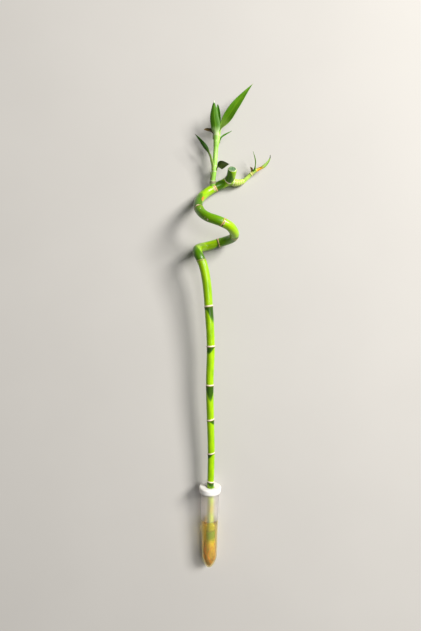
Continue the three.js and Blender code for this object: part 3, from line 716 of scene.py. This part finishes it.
def leaf_material(name, codes, pale_to=0.36, tip_from=0.96, dry=0.0):
    """A blade, pale at its foot and along its midrib, with parallel veins. codes are the foot, the
    blade, its light streaks and its tip."""
    foot_code, blade_code, light_code, tip_code = codes.split()
    material, tree, shader = new_material(name, {**soft_flesh(0.05, 0.5), "Specular IOR Level": 0.28})
    blade, length = layer(tree, "blade", "Vector"), layer(tree, "length")
    across = maths("ABSOLUTE", part_of(blade, "X"))
    veins = pattern(LEAF_VEINS, blade, 1.5)
    bands = noise_value(stretched(blade, (0.8, 0.06, 1)), 0.8)
    clouds = noise_value(blade, 0.12)
    speckle = noise_value(blade, 1.2, 4, 0.7)
    lit = weighted((span(bands, 0.3, 0.7), 0.32), (veins, 0.06), (clouds, 0.6), base=-0.2)
    green = mixed(lit, blade_code, light_code)
    rib = times(span(across, 1.5, 0.2), span(length, 0.98, 0.5))
    green = mixed(times(rib, 0.45), green, light_code)
    foot = span(weighted((length, 1), (bands, 0.14)), pale_to, pale_to - 0.3)
    green = mixed(foot, green, foot_code)
    tip = span(weighted((length, 1), (speckle, 0.06)), tip_from, tip_from + 0.05)
    base = mixed(tip, green, tip_code)
    if dry:
        brown = times(span(speckle, 0.4, 0.6), dry)
        base = mixed(brown, base, "7a5a2c")
    rough = weighted((veins, 0.06), (clouds, 0.1), base=0.42 + 0.15 * dry)
    relief = weighted((veins, 1), (clouds, 0.4))
    dress(shader, base, rough, relief, 0.02, 0.5)
    return material


def let_light_in(shader, share):
    """Lets a share of the lamps' light straight through a clear piece, onto what it holds."""
    tree = shader.id_data
    shadow = node(tree, "LightPath").outputs["Is Shadow Ray"]
    tree.links.new(weighted((shadow, -share), base=1.0), shader.inputs["Alpha"])


def tube_material():
    material, tree, shader = new_material("milky tube plastic", {"Transmission Weight": 0.93, "IOR": 1.45})
    place = object_place(tree)
    haze = noise_value(stretched(place, (1, 0.25, 1)), 260)
    level = (LAYOUT_SHIFT.y - TUBE_LENGTH + GEL_LEVEL) * MM
    length = part_of(place, "Y")
    above = span(length, level - 1.5 * MM, level + 1.5 * MM)
    clear = faded(haze, 0.35, 0.65, "f7edb4", "f3e69c")
    milky = faded(haze, 0.35, 0.65, "fdfaf8", "f6f1ee")
    rough = weighted((above, 0.2), (haze, 0.08), base=0.05)
    dress(shader, mixed(above, clear, milky), rough, haze, 0.05, 0.3)
    let_light_in(shader, 0.7)
    return material


def cap_material():
    material, tree, shader = new_material("white cap plastic", soft_flesh(0.12, 1.5, (1, 0.9, 0.8)))
    place = object_place(tree)
    cloud = noise_value(place, 180)
    grain = noise_value(place, 2600, 2)
    base = faded(cloud, 0.3, 0.7, "f6f4f0", "efece6")
    rough = weighted((cloud, 0.15), base=0.36)
    dress(shader, base, rough, grain, 0.03, 0.4)
    return material


def gel_material():
    material, tree, shader = new_material("clear water gel", {"Transmission Weight": 0.96, "IOR": 1.34})
    place = object_place(tree)
    cloud = noise_value(place, 90)
    base = faded(cloud, 0.35, 0.65, "f9ea98", "f1d868")
    rough = weighted((cloud, 0.08), base=0.02)
    dress(shader, base, rough, cloud, 0.1, 0.2)
    let_light_in(shader, 0.85)
    return material


def root_material():
    material, tree, shader = new_material("orange roots", soft_flesh(0.03, 0.5, (1, 0.7, 0.3)))
    skin = layer(tree, "skin", "Vector")
    fibres = pattern(STEM_FIBRES, skin, 1.6)
    patchy = noise_value(object_place(tree), 160)
    flat = node(tree, "VectorMath", {0: skin, 1: (1, 1, 0)}, operation="MULTIPLY").outputs["Vector"]
    radius = node(tree, "VectorMath", {0: flat}, operation="LENGTH").outputs["Value"]
    orange = faded(patchy, 0.3, 0.55, "7a6c1a", "b87a14")
    orange = faded(patchy, 0.5, 0.7, orange, "e0b048")
    orange = faded(radius, 0.45, 0.6, orange, "f29a1a")
    base = mixed(times(span(fibres, 0.5, 0.8), 0.5), orange, "8a520a")
    rough = weighted((fibres, 0.2), base=0.4)
    dress(shader, base, rough, fibres, 0.15, 0.5)
    return material


def seal_material():
    material, tree, shader = new_material("sealing wax", {**soft_flesh(0.15, 1.0), "Coat Weight": 0.2})
    place = object_place(tree)
    cloud = noise_value(place, 350, 4, 0.6)
    fine = noise_value(place, 1500, 2)
    green = faded(cloud, 0.35, 0.65, "3c6640", "7ea070")
    rim = ragged(layer(tree, "rim"), cloud, 0.5)
    base = faded(rim, 0.8, 0.98, green, "dcd8b0")
    rough = weighted((fine, 0.2), base=0.3)
    dress(shader, base, rough, cloud, 0.4, 0.6)
    return material


# Pieces

def cane_radius(along):
    start, end = CANE_WIDENS
    return lerp(CANE_FOOT_RADIUS, CANE_COIL_RADIUS, min(max((along - start) / (end - start), 0), 1))


def nearest_ring(along):
    return min(RINGS, key=lambda ring: abs(along - ring.place))


def ring_gap(along):
    """The distance to the nearest ring, less than 0 below it."""
    return along - nearest_ring(along).place


def cane_surface(along, turn):
    gap = ring_gap(along)
    proud = lerp(*RING_PROUD, smooth(along, *RING_PROUD_CHANGES))
    proud += RING_UNEVEN * skin_noise(turn, along - gap, 1.5, 0.3)
    proud *= lerp(RING_IN_TUBE, 1, smooth(along, *RING_TUBE_MOUTH))
    rise = proud * hump(gap, 0, RING_WIDTH) + RING_SWELL * proud * hump(gap, *RING_SWELL_AT)
    rise -= RING_GROOVE * hump(gap, *RING_GROOVE_AT)
    return cane_radius(along) + rise + CANE_UNEVEN * (skin_noise(turn, along, 1, 0.035) - 0.5)


def darker_skin_and_painted_shade(along, turn):
    """How dark the skin is: the tone of the stretch between two rings, and the patches by the rings;
    partly the skin's own darker green, partly painted shade on the coil and the stub.
    """
    tone, patch = FOOT_TONE, 0
    for ring in RINGS:
        tone = lerp(tone, ring.tone_above, smooth(along - ring.place, *TONE_CHANGES))
        depth, far_share = PATCH_BELOW if ring.patch > 0 else PATCH_ABOVE
        aside = abs(turn_between(turn, ring.side))
        reach = abs(ring.patch) * lerp(1, far_share, smooth(aside, 0, PATCH_TURN))
        into = (ring.place - along) * copysign(1, ring.patch) / reach
        if into > 0:
            patch = max(patch, depth * (1 - smooth(into, *PATCH_FADES)))
    return max(tone, patch)


def cane_notes(along, turn):
    ring = nearest_ring(along)
    gap = along - ring.place
    scar = 0
    for place, side, tall, wide, tint in SCARS:
        aside = radians(turn_between(turn, side)) * cane_radius(along)
        scar = max(scar, tint * hump(along, place, tall) * hump(aside, 0, wide))
    return {"ring": min(abs(gap), RING_TINT_REACH) - ring.bold, "under": hump(gap, *RING_LINE_AT),
            "shade": darker_skin_and_painted_shade(along, turn), "scar": min(scar, SCAR_MOST)}


def cane_stations(length):
    places = [length * i / round(length / CANE_STEP) for i in range(1, round(length / CANE_STEP))]
    places = [p for p in places if abs(ring_gap(p)) > RING_REACH and CANE_STEP < p < length - CANE_STEP]
    fine = round(RING_REACH / CANE_RING_STEP)
    for ring in RINGS:
        places += [ring.place + RING_REACH * i / fine for i in range(-fine, fine + 1)]
    round_share = 1 - CANE_CUT_ROUND / CANE_FOOT_RADIUS
    foot = [(0, 0), (0, round_share * 0.7), (0, round_share), (0.25, 0.97), (CANE_CUT_ROUND, 1)]
    head = [(length - CANE_CUT_ROUND, 1), (length - 0.2, 0.97), (length, 0.93), (length, 0.8), (length, 0)]
    return foot + [(p, 1) for p in sorted(places)] + head


def make_cane(route):
    bm = bmesh.new()

    def slant(along, across):
        fade = smooth(abs(ring_gap(along)), RING_REACH, SLANT_FADE)
        return nearest_ring(along).rise * across * (1 - fade)

    add_stem(bm, route, cane_stations(route.length), CANE_SIDES, cane_surface, slant, cane_notes)
    finish_piece("cane_body", bm, cane_material(), "cane")


def profile_radius(profile, along):
    for (place_a, radius_a), (place_b, radius_b) in zip(profile, profile[1:]):
        if along <= place_b:
            return lerp(radius_a, radius_b, smooth(along, place_a, place_b))
    return profile[-1][1]


def make_shoot(name, node_name, route, profile, material, collar, pale=NOWHERE, warm=NOWHERE):
    """A stem whose radius follows its profile. collar, pale and warm are (place, reach) along it."""
    bm = bmesh.new()
    head = profile[-1][0]
    peaks = [b[0] for a, b, c in zip(profile, profile[1:], profile[2:]) if b[1] > max(a[1], c[1])]

    def surface(along, turn):
        crust = COLLAR_CRUST * hump(along, *collar) * skin_noise(turn, along, 4, 1.1)
        uneven = 1 + SHOOT_UNEVEN * skin_noise(turn, along, 1.6, 0.12)
        return profile_radius(profile, along) * uneven + crust

    def notes(along, turn):
        facing = 0.5 + 0.5 * cos(radians(turn - WARM_SIDE))
        ridge = max(hump(along, peak, RIDGE_WIDTH) for peak in peaks)
        return {"ridge": max(ridge, hump(along, *pale)), "collar": hump(along, *collar),
                "warm": hump(along, *warm) * facing}

    count = round(head / SHOOT_STEP)
    stations = [(0, 0), (0, 0.9)] + [(head * i / count, 1) for i in range(1, count - 1)]
    stations += [(head - 0.3, 0.97), (head, 0.85), (head, 0)]
    add_stem(bm, route, stations, SHOOT_SIDES, surface, None, notes)
    finish_piece(name, bm, material, node_name)


def make_leaf(leaf, stems, material):
    """A thin blade about its midrib: clasped round the stem, channelled, then shallowly folded."""
    route, profile = stems[leaf.stem]
    radius = leaf.foot or profile_radius(profile, leaf.end) + FIT_GAP + leaf.thick / 2 + LEAF_CLEAR
    beside = [route.at(a)[0] + route.outward(a, leaf.turn) * radius for a in (leaf.start, leaf.end)]
    rib = Route([*beside, *leaf.path], -route.outward(leaf.start, leaf.turn))
    rows = round(rib.length / LEAF_ROW)
    clasp_width = radius * radians(leaf.clasp)
    bm = bmesh.new()
    blade_layer = bm.verts.layers.float_vector.new("blade")
    length_layer = bm.verts.layers.float.new("length")

    def widths(v):
        """The blade's width at a share of its length, and how full the blade is there."""
        t = max(0, (v - leaf.blade_from) / (1 - leaf.blade_from))
        rise = (t / leaf.widest) ** (leaf.taper * leaf.widest)
        fall = max(0, (1 - t) / (1 - leaf.widest)) ** (leaf.taper * (1 - leaf.widest))
        full = rise * fall * lerp(1, smooth(t, 0, LEAF_EASES_OVER), leaf.ease)
        stalk = lerp(clasp_width, leaf.stalk, smooth(v, leaf.clasp_to, leaf.blade_from))
        width = stalk * (1 - t) + (leaf.broad - leaf.stalk * (1 - leaf.widest)) * full
        return max(LEAF_TIP_WIDTH * (1 - 0.9 * smooth(v, LEAF_TIP_FROM, 1)), width), full

    def place(corner, share, row):
        u, v = share - 0.5, row / rows
        width, full = widths(v)
        opened = smooth(v, leaf.clasp_to, leaf.blade_from + LEAF_OPENS_OVER)
        turn = radians(lerp(leaf.clasp, leaf.fold, opened))
        point, _, normal, side = rib.at(v * rib.length)
        twist = radians(leaf.twist) * smooth(v, leaf.clasp_to, leaf.twist_by)
        up = normal * cos(twist) + side * sin(twist)
        out = side * cos(twist) - normal * sin(twist)
        bend = width / turn
        across = width * u
        swing = sin(LEAF_WAVES * pi * v + copysign(1, u))
        ripple = leaf.wave * swing * (2 * u) ** 2 * full
        started = smooth(v, leaf.blade_from, leaf.blade_from + RIB_STARTS_OVER)
        groove = RIB_GROOVE * hump(across, 0, RIB_WIDTH) * started * min(1, width / RIB_FULL_FROM_WIDTH)
        over = bend * (1 - cos(turn * u)) + ripple - groove
        corner[blade_layer] = (across, v * rib.length, 0)
        corner[length_layer] = v
        return point + out * (bend * sin(turn * u)) + up * over

    add_grid(bm, LEAF_COLUMNS, rows, place)
    piece = finish_piece(leaf.node + "_blade", bm, material, leaf.node)
    wall = piece.modifiers.new("thickness", "SOLIDIFY")
    wall.thickness = leaf.thick * MM
    wall.offset = 0
    wall.use_even_offset = False


def tube_radius(height):
    if height >= TUBE_FOOT_HEIGHT:
        rise = (height - TUBE_FOOT_HEIGHT) / (TUBE_LENGTH - TUBE_FOOT_HEIGHT)
        return lerp(TUBE_FOOT_RADIUS, TUBE_MOUTH_RADIUS, rise)
    drop = (TUBE_FOOT_HEIGHT - height) / TUBE_FOOT_HEIGHT
    inner, outer = TUBE_TIP_POWERS
    return TUBE_FOOT_RADIUS * (1 - drop ** inner) ** outer


def bore_radius(height):
    return tube_radius(max(height - TUBE_WALL, 0)) - TUBE_WALL


def inner_wall(depth, top, highest):
    """(radius, height) points of the tube's form, brought in by a depth; its tip is round, so they
    are close together there."""
    tip = [TUBE_FOOT_HEIGHT * (i / TUBE_TIP_ROWS) ** 2 for i in range(1, TUBE_TIP_ROWS + 1)]
    side = [lerp(TUBE_FOOT_HEIGHT, top, i / TUBE_SIDE_ROWS) for i in range(1, TUBE_SIDE_ROWS + 1)]
    points = [(tube_radius(height) - depth, min(height + depth, highest)) for height in tip + side]
    return [point for point in points if point[0] > 0]


def holder_matrix():
    """The tube's own frame, with its axis as Y from the tip up, laid on the bench."""
    turn = turned(-TUBE_LEAN, "Z") @ turned(TUBE_TILT, "X")
    reach = CAP_FLAT_CORNER * cos(pi / CAP_FLATS) * cos(radians(TUBE_TILT))
    height = reach + CAP_FLAT_START * sin(radians(TUBE_TILT))
    return Matrix.Translation(Vector((0, 0, height)) - turn @ Vector((0, CAP_TOP, 0))) @ turn


def make_tube(holder):
    bm = bmesh.new()
    heights = [height for _, height in inner_wall(0, TUBE_LENGTH, TUBE_LENGTH)]
    for bead in TUBE_BEADS:
        heights += [bead + TUBE_BEAD_WIDTH * i / 2 for i in range(-3, 4)]
    outer = []
    for height in sorted(heights):
        bead = max(hump(height, bead, TUBE_BEAD_WIDTH) for bead in TUBE_BEADS)
        outer.append((tube_radius(height) + TUBE_BEAD_RISE * bead, height))
    radius, top = outer.pop()
    across, down = TUBE_LIP_ROUND
    lip = [(radius, top - down), (radius - across, top), (radius - TUBE_WALL + across, top)]
    inner = inner_wall(TUBE_WALL, TUBE_LENGTH, top - down)
    add_turned(bm, [(0, 0), *outer, *lip, *reversed(inner), (0, TUBE_WALL)])
    finish_piece("tube_wall", bm, tube_material(), "tube", BENCH @ holder)


def make_gel(holder):
    bm = bmesh.new()
    depth = TUBE_WALL + GEL_FILM
    wall = inner_wall(depth, GEL_LEVEL - depth, GEL_LEVEL)
    level = [(wall[-1][0] - across, GEL_LEVEL - down) for across, down in GEL_SINKS]
    add_turned(bm, [(0, depth), *wall, *level, (0, level[-1][1])])
    finish_piece("water_gel", bm, gel_material(), "gel", BENCH @ holder)


def arc(middle, radius, start, end, count=6):
    """Points on an arc, from (radius, height) of its middle and turns in degrees."""
    turns = [radians(lerp(start, end, i / count)) for i in range(count + 1)]
    return [(middle[0] + radius * cos(a), middle[1] + radius * sin(a)) for a in turns]


def cap_slot_cutter(holder):
    """The form of the cap's slot: round at its end, and open past the rim."""
    bm = bmesh.new()
    circle = bmesh.ops.create_circle(bm, cap_ends=False, radius=CAP_SLOT_RADIUS, segments=CAP_SLOT_SIDES)
    for corner in circle["verts"]:
        if corner.co.y < -MERGE_DISTANCE:
            corner.co = (copysign(CAP_SLOT_RADIUS, corner.co.x), -2 * CAP_RADIUS, 0)
    bmesh.ops.remove_doubles(bm, verts=bm.verts, dist=MERGE_DISTANCE)
    outline = bmesh.ops.contextual_create(bm, geom=bm.edges)["faces"]
    walls = bmesh.ops.extrude_face_region(bm, geom=outline)["geom"]
    raised = [part for part in walls if isinstance(part, bmesh.types.BMVert)]
    bmesh.ops.translate(bm, verts=raised, vec=(0, 0, 2 * CAP_HEIGHT))
    right, up = CAP_SLOT_END
    place = Matrix.Translation((right, CAP_TOP + CAP_HEIGHT / 2, up))
    place = place @ turned(CAP_SLOT_TURN, "Y") @ turned(90, "X")
    bmesh.ops.transform(bm, matrix=BENCH @ holder @ place, verts=bm.verts)
    bmesh.ops.recalc_face_normals(bm, faces=bm.faces)
    return new_object("slot_cutter", new_mesh("slot cutter", bm))


def cut_slot(cap, cutter):
    """Cuts the slot, softens its edges and keeps the result as the cap's own mesh."""
    cut = cap.modifiers.new("slot", "BOOLEAN")
    cut.object = cutter
    cut.solver = "EXACT"
    soft = cap.modifiers.new("soft edges", "BEVEL")
    soft.width = CAP_SLOT_ROUND * MM
    soft.segments = 4
    soft.limit_method = "ANGLE"
    soft.angle_limit = radians(50)
    soft.harden_normals = True
    evaluated = cap.evaluated_get(bpy.context.evaluated_depsgraph_get())
    done = bpy.data.meshes.new_from_object(evaluated)
    cap.modifiers.clear()
    cap.data = done
    bpy.data.objects.remove(cutter)


def make_cap(holder):
    bm = bmesh.new()
    under, bottom = CAP_TOP - CAP_PLATE, CAP_TOP - CAP_HEIGHT
    lower = CAP_RADIUS - CAP_HEIGHT * tan(radians(TUBE_TILT))
    profile = [(0, under), (TUBE_MOUTH_RADIUS + FIT_GAP, under), (tube_radius(bottom) + FIT_GAP, bottom)]
    profile += arc((lower - CAP_LOWER_ROUND, bottom + CAP_LOWER_ROUND), CAP_LOWER_ROUND, -90, 0)
    profile += arc((CAP_RADIUS - CAP_ROUND, CAP_TOP - CAP_ROUND), CAP_ROUND, 0, 90, 10)
    add_turned(bm, [*profile, (CAP_RADIUS - CAP_ROUND - CAP_TOP_LEVEL_FROM, CAP_TOP), (0, CAP_TOP)])
    cap = finish_piece("cap_ring", bm, cap_material(), "cap", BENCH @ holder)
    cut_slot(cap, cap_slot_cutter(holder))


def make_roots(holder, cane_foot):
    """The callus under the cane's cut, with thick roots up the wall and a tangle of fine ones."""
    draws = random.Random(11)
    bm = bmesh.new()
    start = cane_foot - Vector((0, CALLUS_DROP, 0))

    def strand(points, thick, thin, sides):
        route = Route([start, *points])
        rows = max(8, round(route.length / ROOT_STEP))
        stations = [(0, 0)] + [(route.length * i / rows, 1) for i in range(rows)]
        stations += [(route.length, 0.6), (route.length + thin, 0)]
        seed = draws.random() * 50

        def surface(along, turn):
            bumpy = 1 + ROOT_LUMPS * noise.noise(Vector((seed, along * 0.5, turn * 0.01)))
            return lerp(thick, thin, min(along / route.length, 1)) * bumpy

        add_stem(bm, route, stations, sides, surface)

    def at(angle, radius, height):
        return Vector((radius * sin(angle), height, radius * cos(angle)))

    for i in range(LONG_ROOTS):
        angle = (i + 0.5 * draws.random()) / LONG_ROOTS * 2 * pi
        reach = draws.uniform(*LONG_ROOT_REACH)
        bend = 0.5 - draws.random()
        points = [at(angle, *LONG_ROOT_TURN)]
        for step in range(4):
            height = lerp(LONG_ROOT_FROM, reach, step / 3)
            sway = bend * sin(1.4 * step) + 0.18 * (draws.random() - 0.5)
            points.append(at(angle + sway, bore_radius(height) - ROOT_FROM_WALL, height))
        strand(points, *LONG_ROOT_SIZE)
    for i in range(FINE_ROOTS):
        angle = draws.random() * 2 * pi
        if draws.random() < LOW_ROOT_SHARE:
            low = draws.uniform(*LOW_ROOT_HEIGHTS)
            points = [at(angle, draws.uniform(3.5, 6.4), 12.0),
                      at(angle + 0.7, draws.uniform(0.4, 0.85) * bore_radius(low + 1.5), low + 1.5),
                      at(angle + 1.6, draws.uniform(0.2, 0.8) * bore_radius(low - 1), low - 1)]
        else:
            reach = draws.uniform(*FINE_ROOT_REACH)
            points = [at(angle, *FINE_ROOT_TURN)]
            for step in range(4):
                height = lerp(FINE_ROOT_FROM, reach, step / 3)
                sway = 0.5 * (draws.random() - 0.5)
                wall = lerp(7.4, bore_radius(height) - 1.2, draws.random())
                points.append(at(angle + sway, wall, height))
        strand(points, *FINE_ROOT_SIZE)
    lump = bmesh.ops.create_icosphere(bm, subdivisions=4, radius=CALLUS_RADIUS)["verts"]
    for corner in lump:
        bumpy = 1 + CALLUS_LUMPS * noise.noise(corner.co * 0.7)
        x, y, z = corner.co * bumpy
        corner.co = start + Vector((x, y * CALLUS_FLATTENED, z))
    finish_piece("root_mass", bm, root_material(), "roots", BENCH @ holder)


def make_seal(cane):
    """The wax over the cane's cut top: a thin lumpy disc with a pale rim."""
    bm = bmesh.new()
    rim_layer = bm.verts.layers.float.new("rim")
    point, tangent, normal, side = cane.at(cane.length)

    def place(corner, share, row):
        part, height = SEAL_OUTLINE[row]
        angle = 2 * pi * share
        flat = Vector((sin(angle), cos(angle), 0)) * part * SEAL_RADIUS
        lift = SEAL_THICKNESS * height
        if height > SEAL_TOP_FROM:
            lumps = SEAL_LUMPS * noise.noise(flat * 0.45) + SEAL_DISH * part ** 4
            lift = min(lift + lumps - SEAL_SINK, SEAL_THICKNESS)
        corner[rim_layer] = part
        return point + side * flat.x + normal * flat.y + tangent * (SEAL_GAP + lift)

    add_grid(bm, SEAL_SIDES, len(SEAL_OUTLINE) - 1, place)
    finish_piece("wax_seal", bm, seal_material(), "cut_seal")


# Stage

def stage_material():
    material, tree, shader = new_material("pale table", {})
    place = object_place(tree)
    cloud = noise_value(place, 6)
    base = mixed(cloud, "bfbcb7", "c6c3be")
    rough = weighted((cloud, 0.1), base=0.75)
    dress(shader, base, rough)
    return material


def make_floor():
    bm = bmesh.new()
    bmesh.ops.create_grid(bm, x_segments=1, y_segments=1, size=TABLE_SIZE)
    mesh = new_mesh("table", bm)
    mesh.materials.append(stage_material())
    floor = new_object("table", mesh)
    floor.location.z = -TABLE_DROP


def add_light(name, place, size, watts, tint):
    lamp = bpy.data.lights.new(name, "AREA")
    lamp.size = size
    lamp.energy = watts
    lamp.color = tint
    light = new_object(name, lamp)
    light.location = place
    light.rotation_euler = (Vector(LIGHTS_AIM) - Vector(place)).to_track_quat("-Z", "Y").to_euler()


def light_stage():
    for name, settings in LIGHTS.items():
        add_light(name, *settings)
    world = bpy.data.worlds.new("studio")
    bpy.context.scene.world = world
    world.use_nodes = True
    background = world.node_tree.nodes["Background"]
    background.inputs["Color"].default_value = STUDIO_TINT
    background.inputs["Strength"].default_value = STUDIO_STRENGTH
    bpy.context.scene.view_settings.view_transform = "Standard"


def make_camera():
    lens = bpy.data.cameras.new("camera")
    lens.sensor_width = SENSOR_WIDTH
    lens.lens = SENSOR_WIDTH * CAMERA_FOCUS_PIXELS / FRAME_LONG_SIDE_PIXELS
    lens.clip_start = 0.05
    camera = new_object("camera", lens)
    camera.location = BENCH @ Vector(CAMERA_PLACE)
    bpy.context.scene.camera = camera


make_camera()
light_stage()
make_floor()

cane_route = Route(CANE_ROUTE)
shoot_route = Route(SHOOT_ROUTE)
side_shoot_route = Route(SIDE_SHOOT_ROUTE)
stems = {"shoot": (shoot_route, SHOOT_PROFILE), "side_shoot": (side_shoot_route, SIDE_SHOOT_PROFILE)}
holder = holder_matrix()

make_cane(cane_route)
pale_shoot = shoot_material("pale shoot", 38, "86c234 bcea78 bcd08c e8eec0 74743c b8bc90")
make_shoot("main_shoot", "shoot", shoot_route, SHOOT_PROFILE, pale_shoot, SHOOT_COLLAR)
yellow_shoot = shoot_material("yellow shoot", 22, "9ac828 d6ee78 d2d078 f0b414 c0a468 f2ecca")
make_shoot("side_branch", "side_shoot", side_shoot_route, SIDE_SHOOT_PROFILE, yellow_shoot,
           SIDE_SHOOT_COLLAR, SIDE_SHOOT_PALE, SIDE_SHOOT_WARM)
finishes = {name: leaf_material(name, *look) for name, (_, *look) in LEAF_FINISHES.items()}
for row in LEAVES:
    leaf = SimpleNamespace(**{**PLAIN_LEAF, **row})
    make_leaf(leaf, stems, finishes[leaf.finish])
make_tube(holder)
make_cap(holder)
make_gel(holder)
make_roots(holder, holder.inverted() @ cane_route.at(0)[0])
make_seal(cane_route)
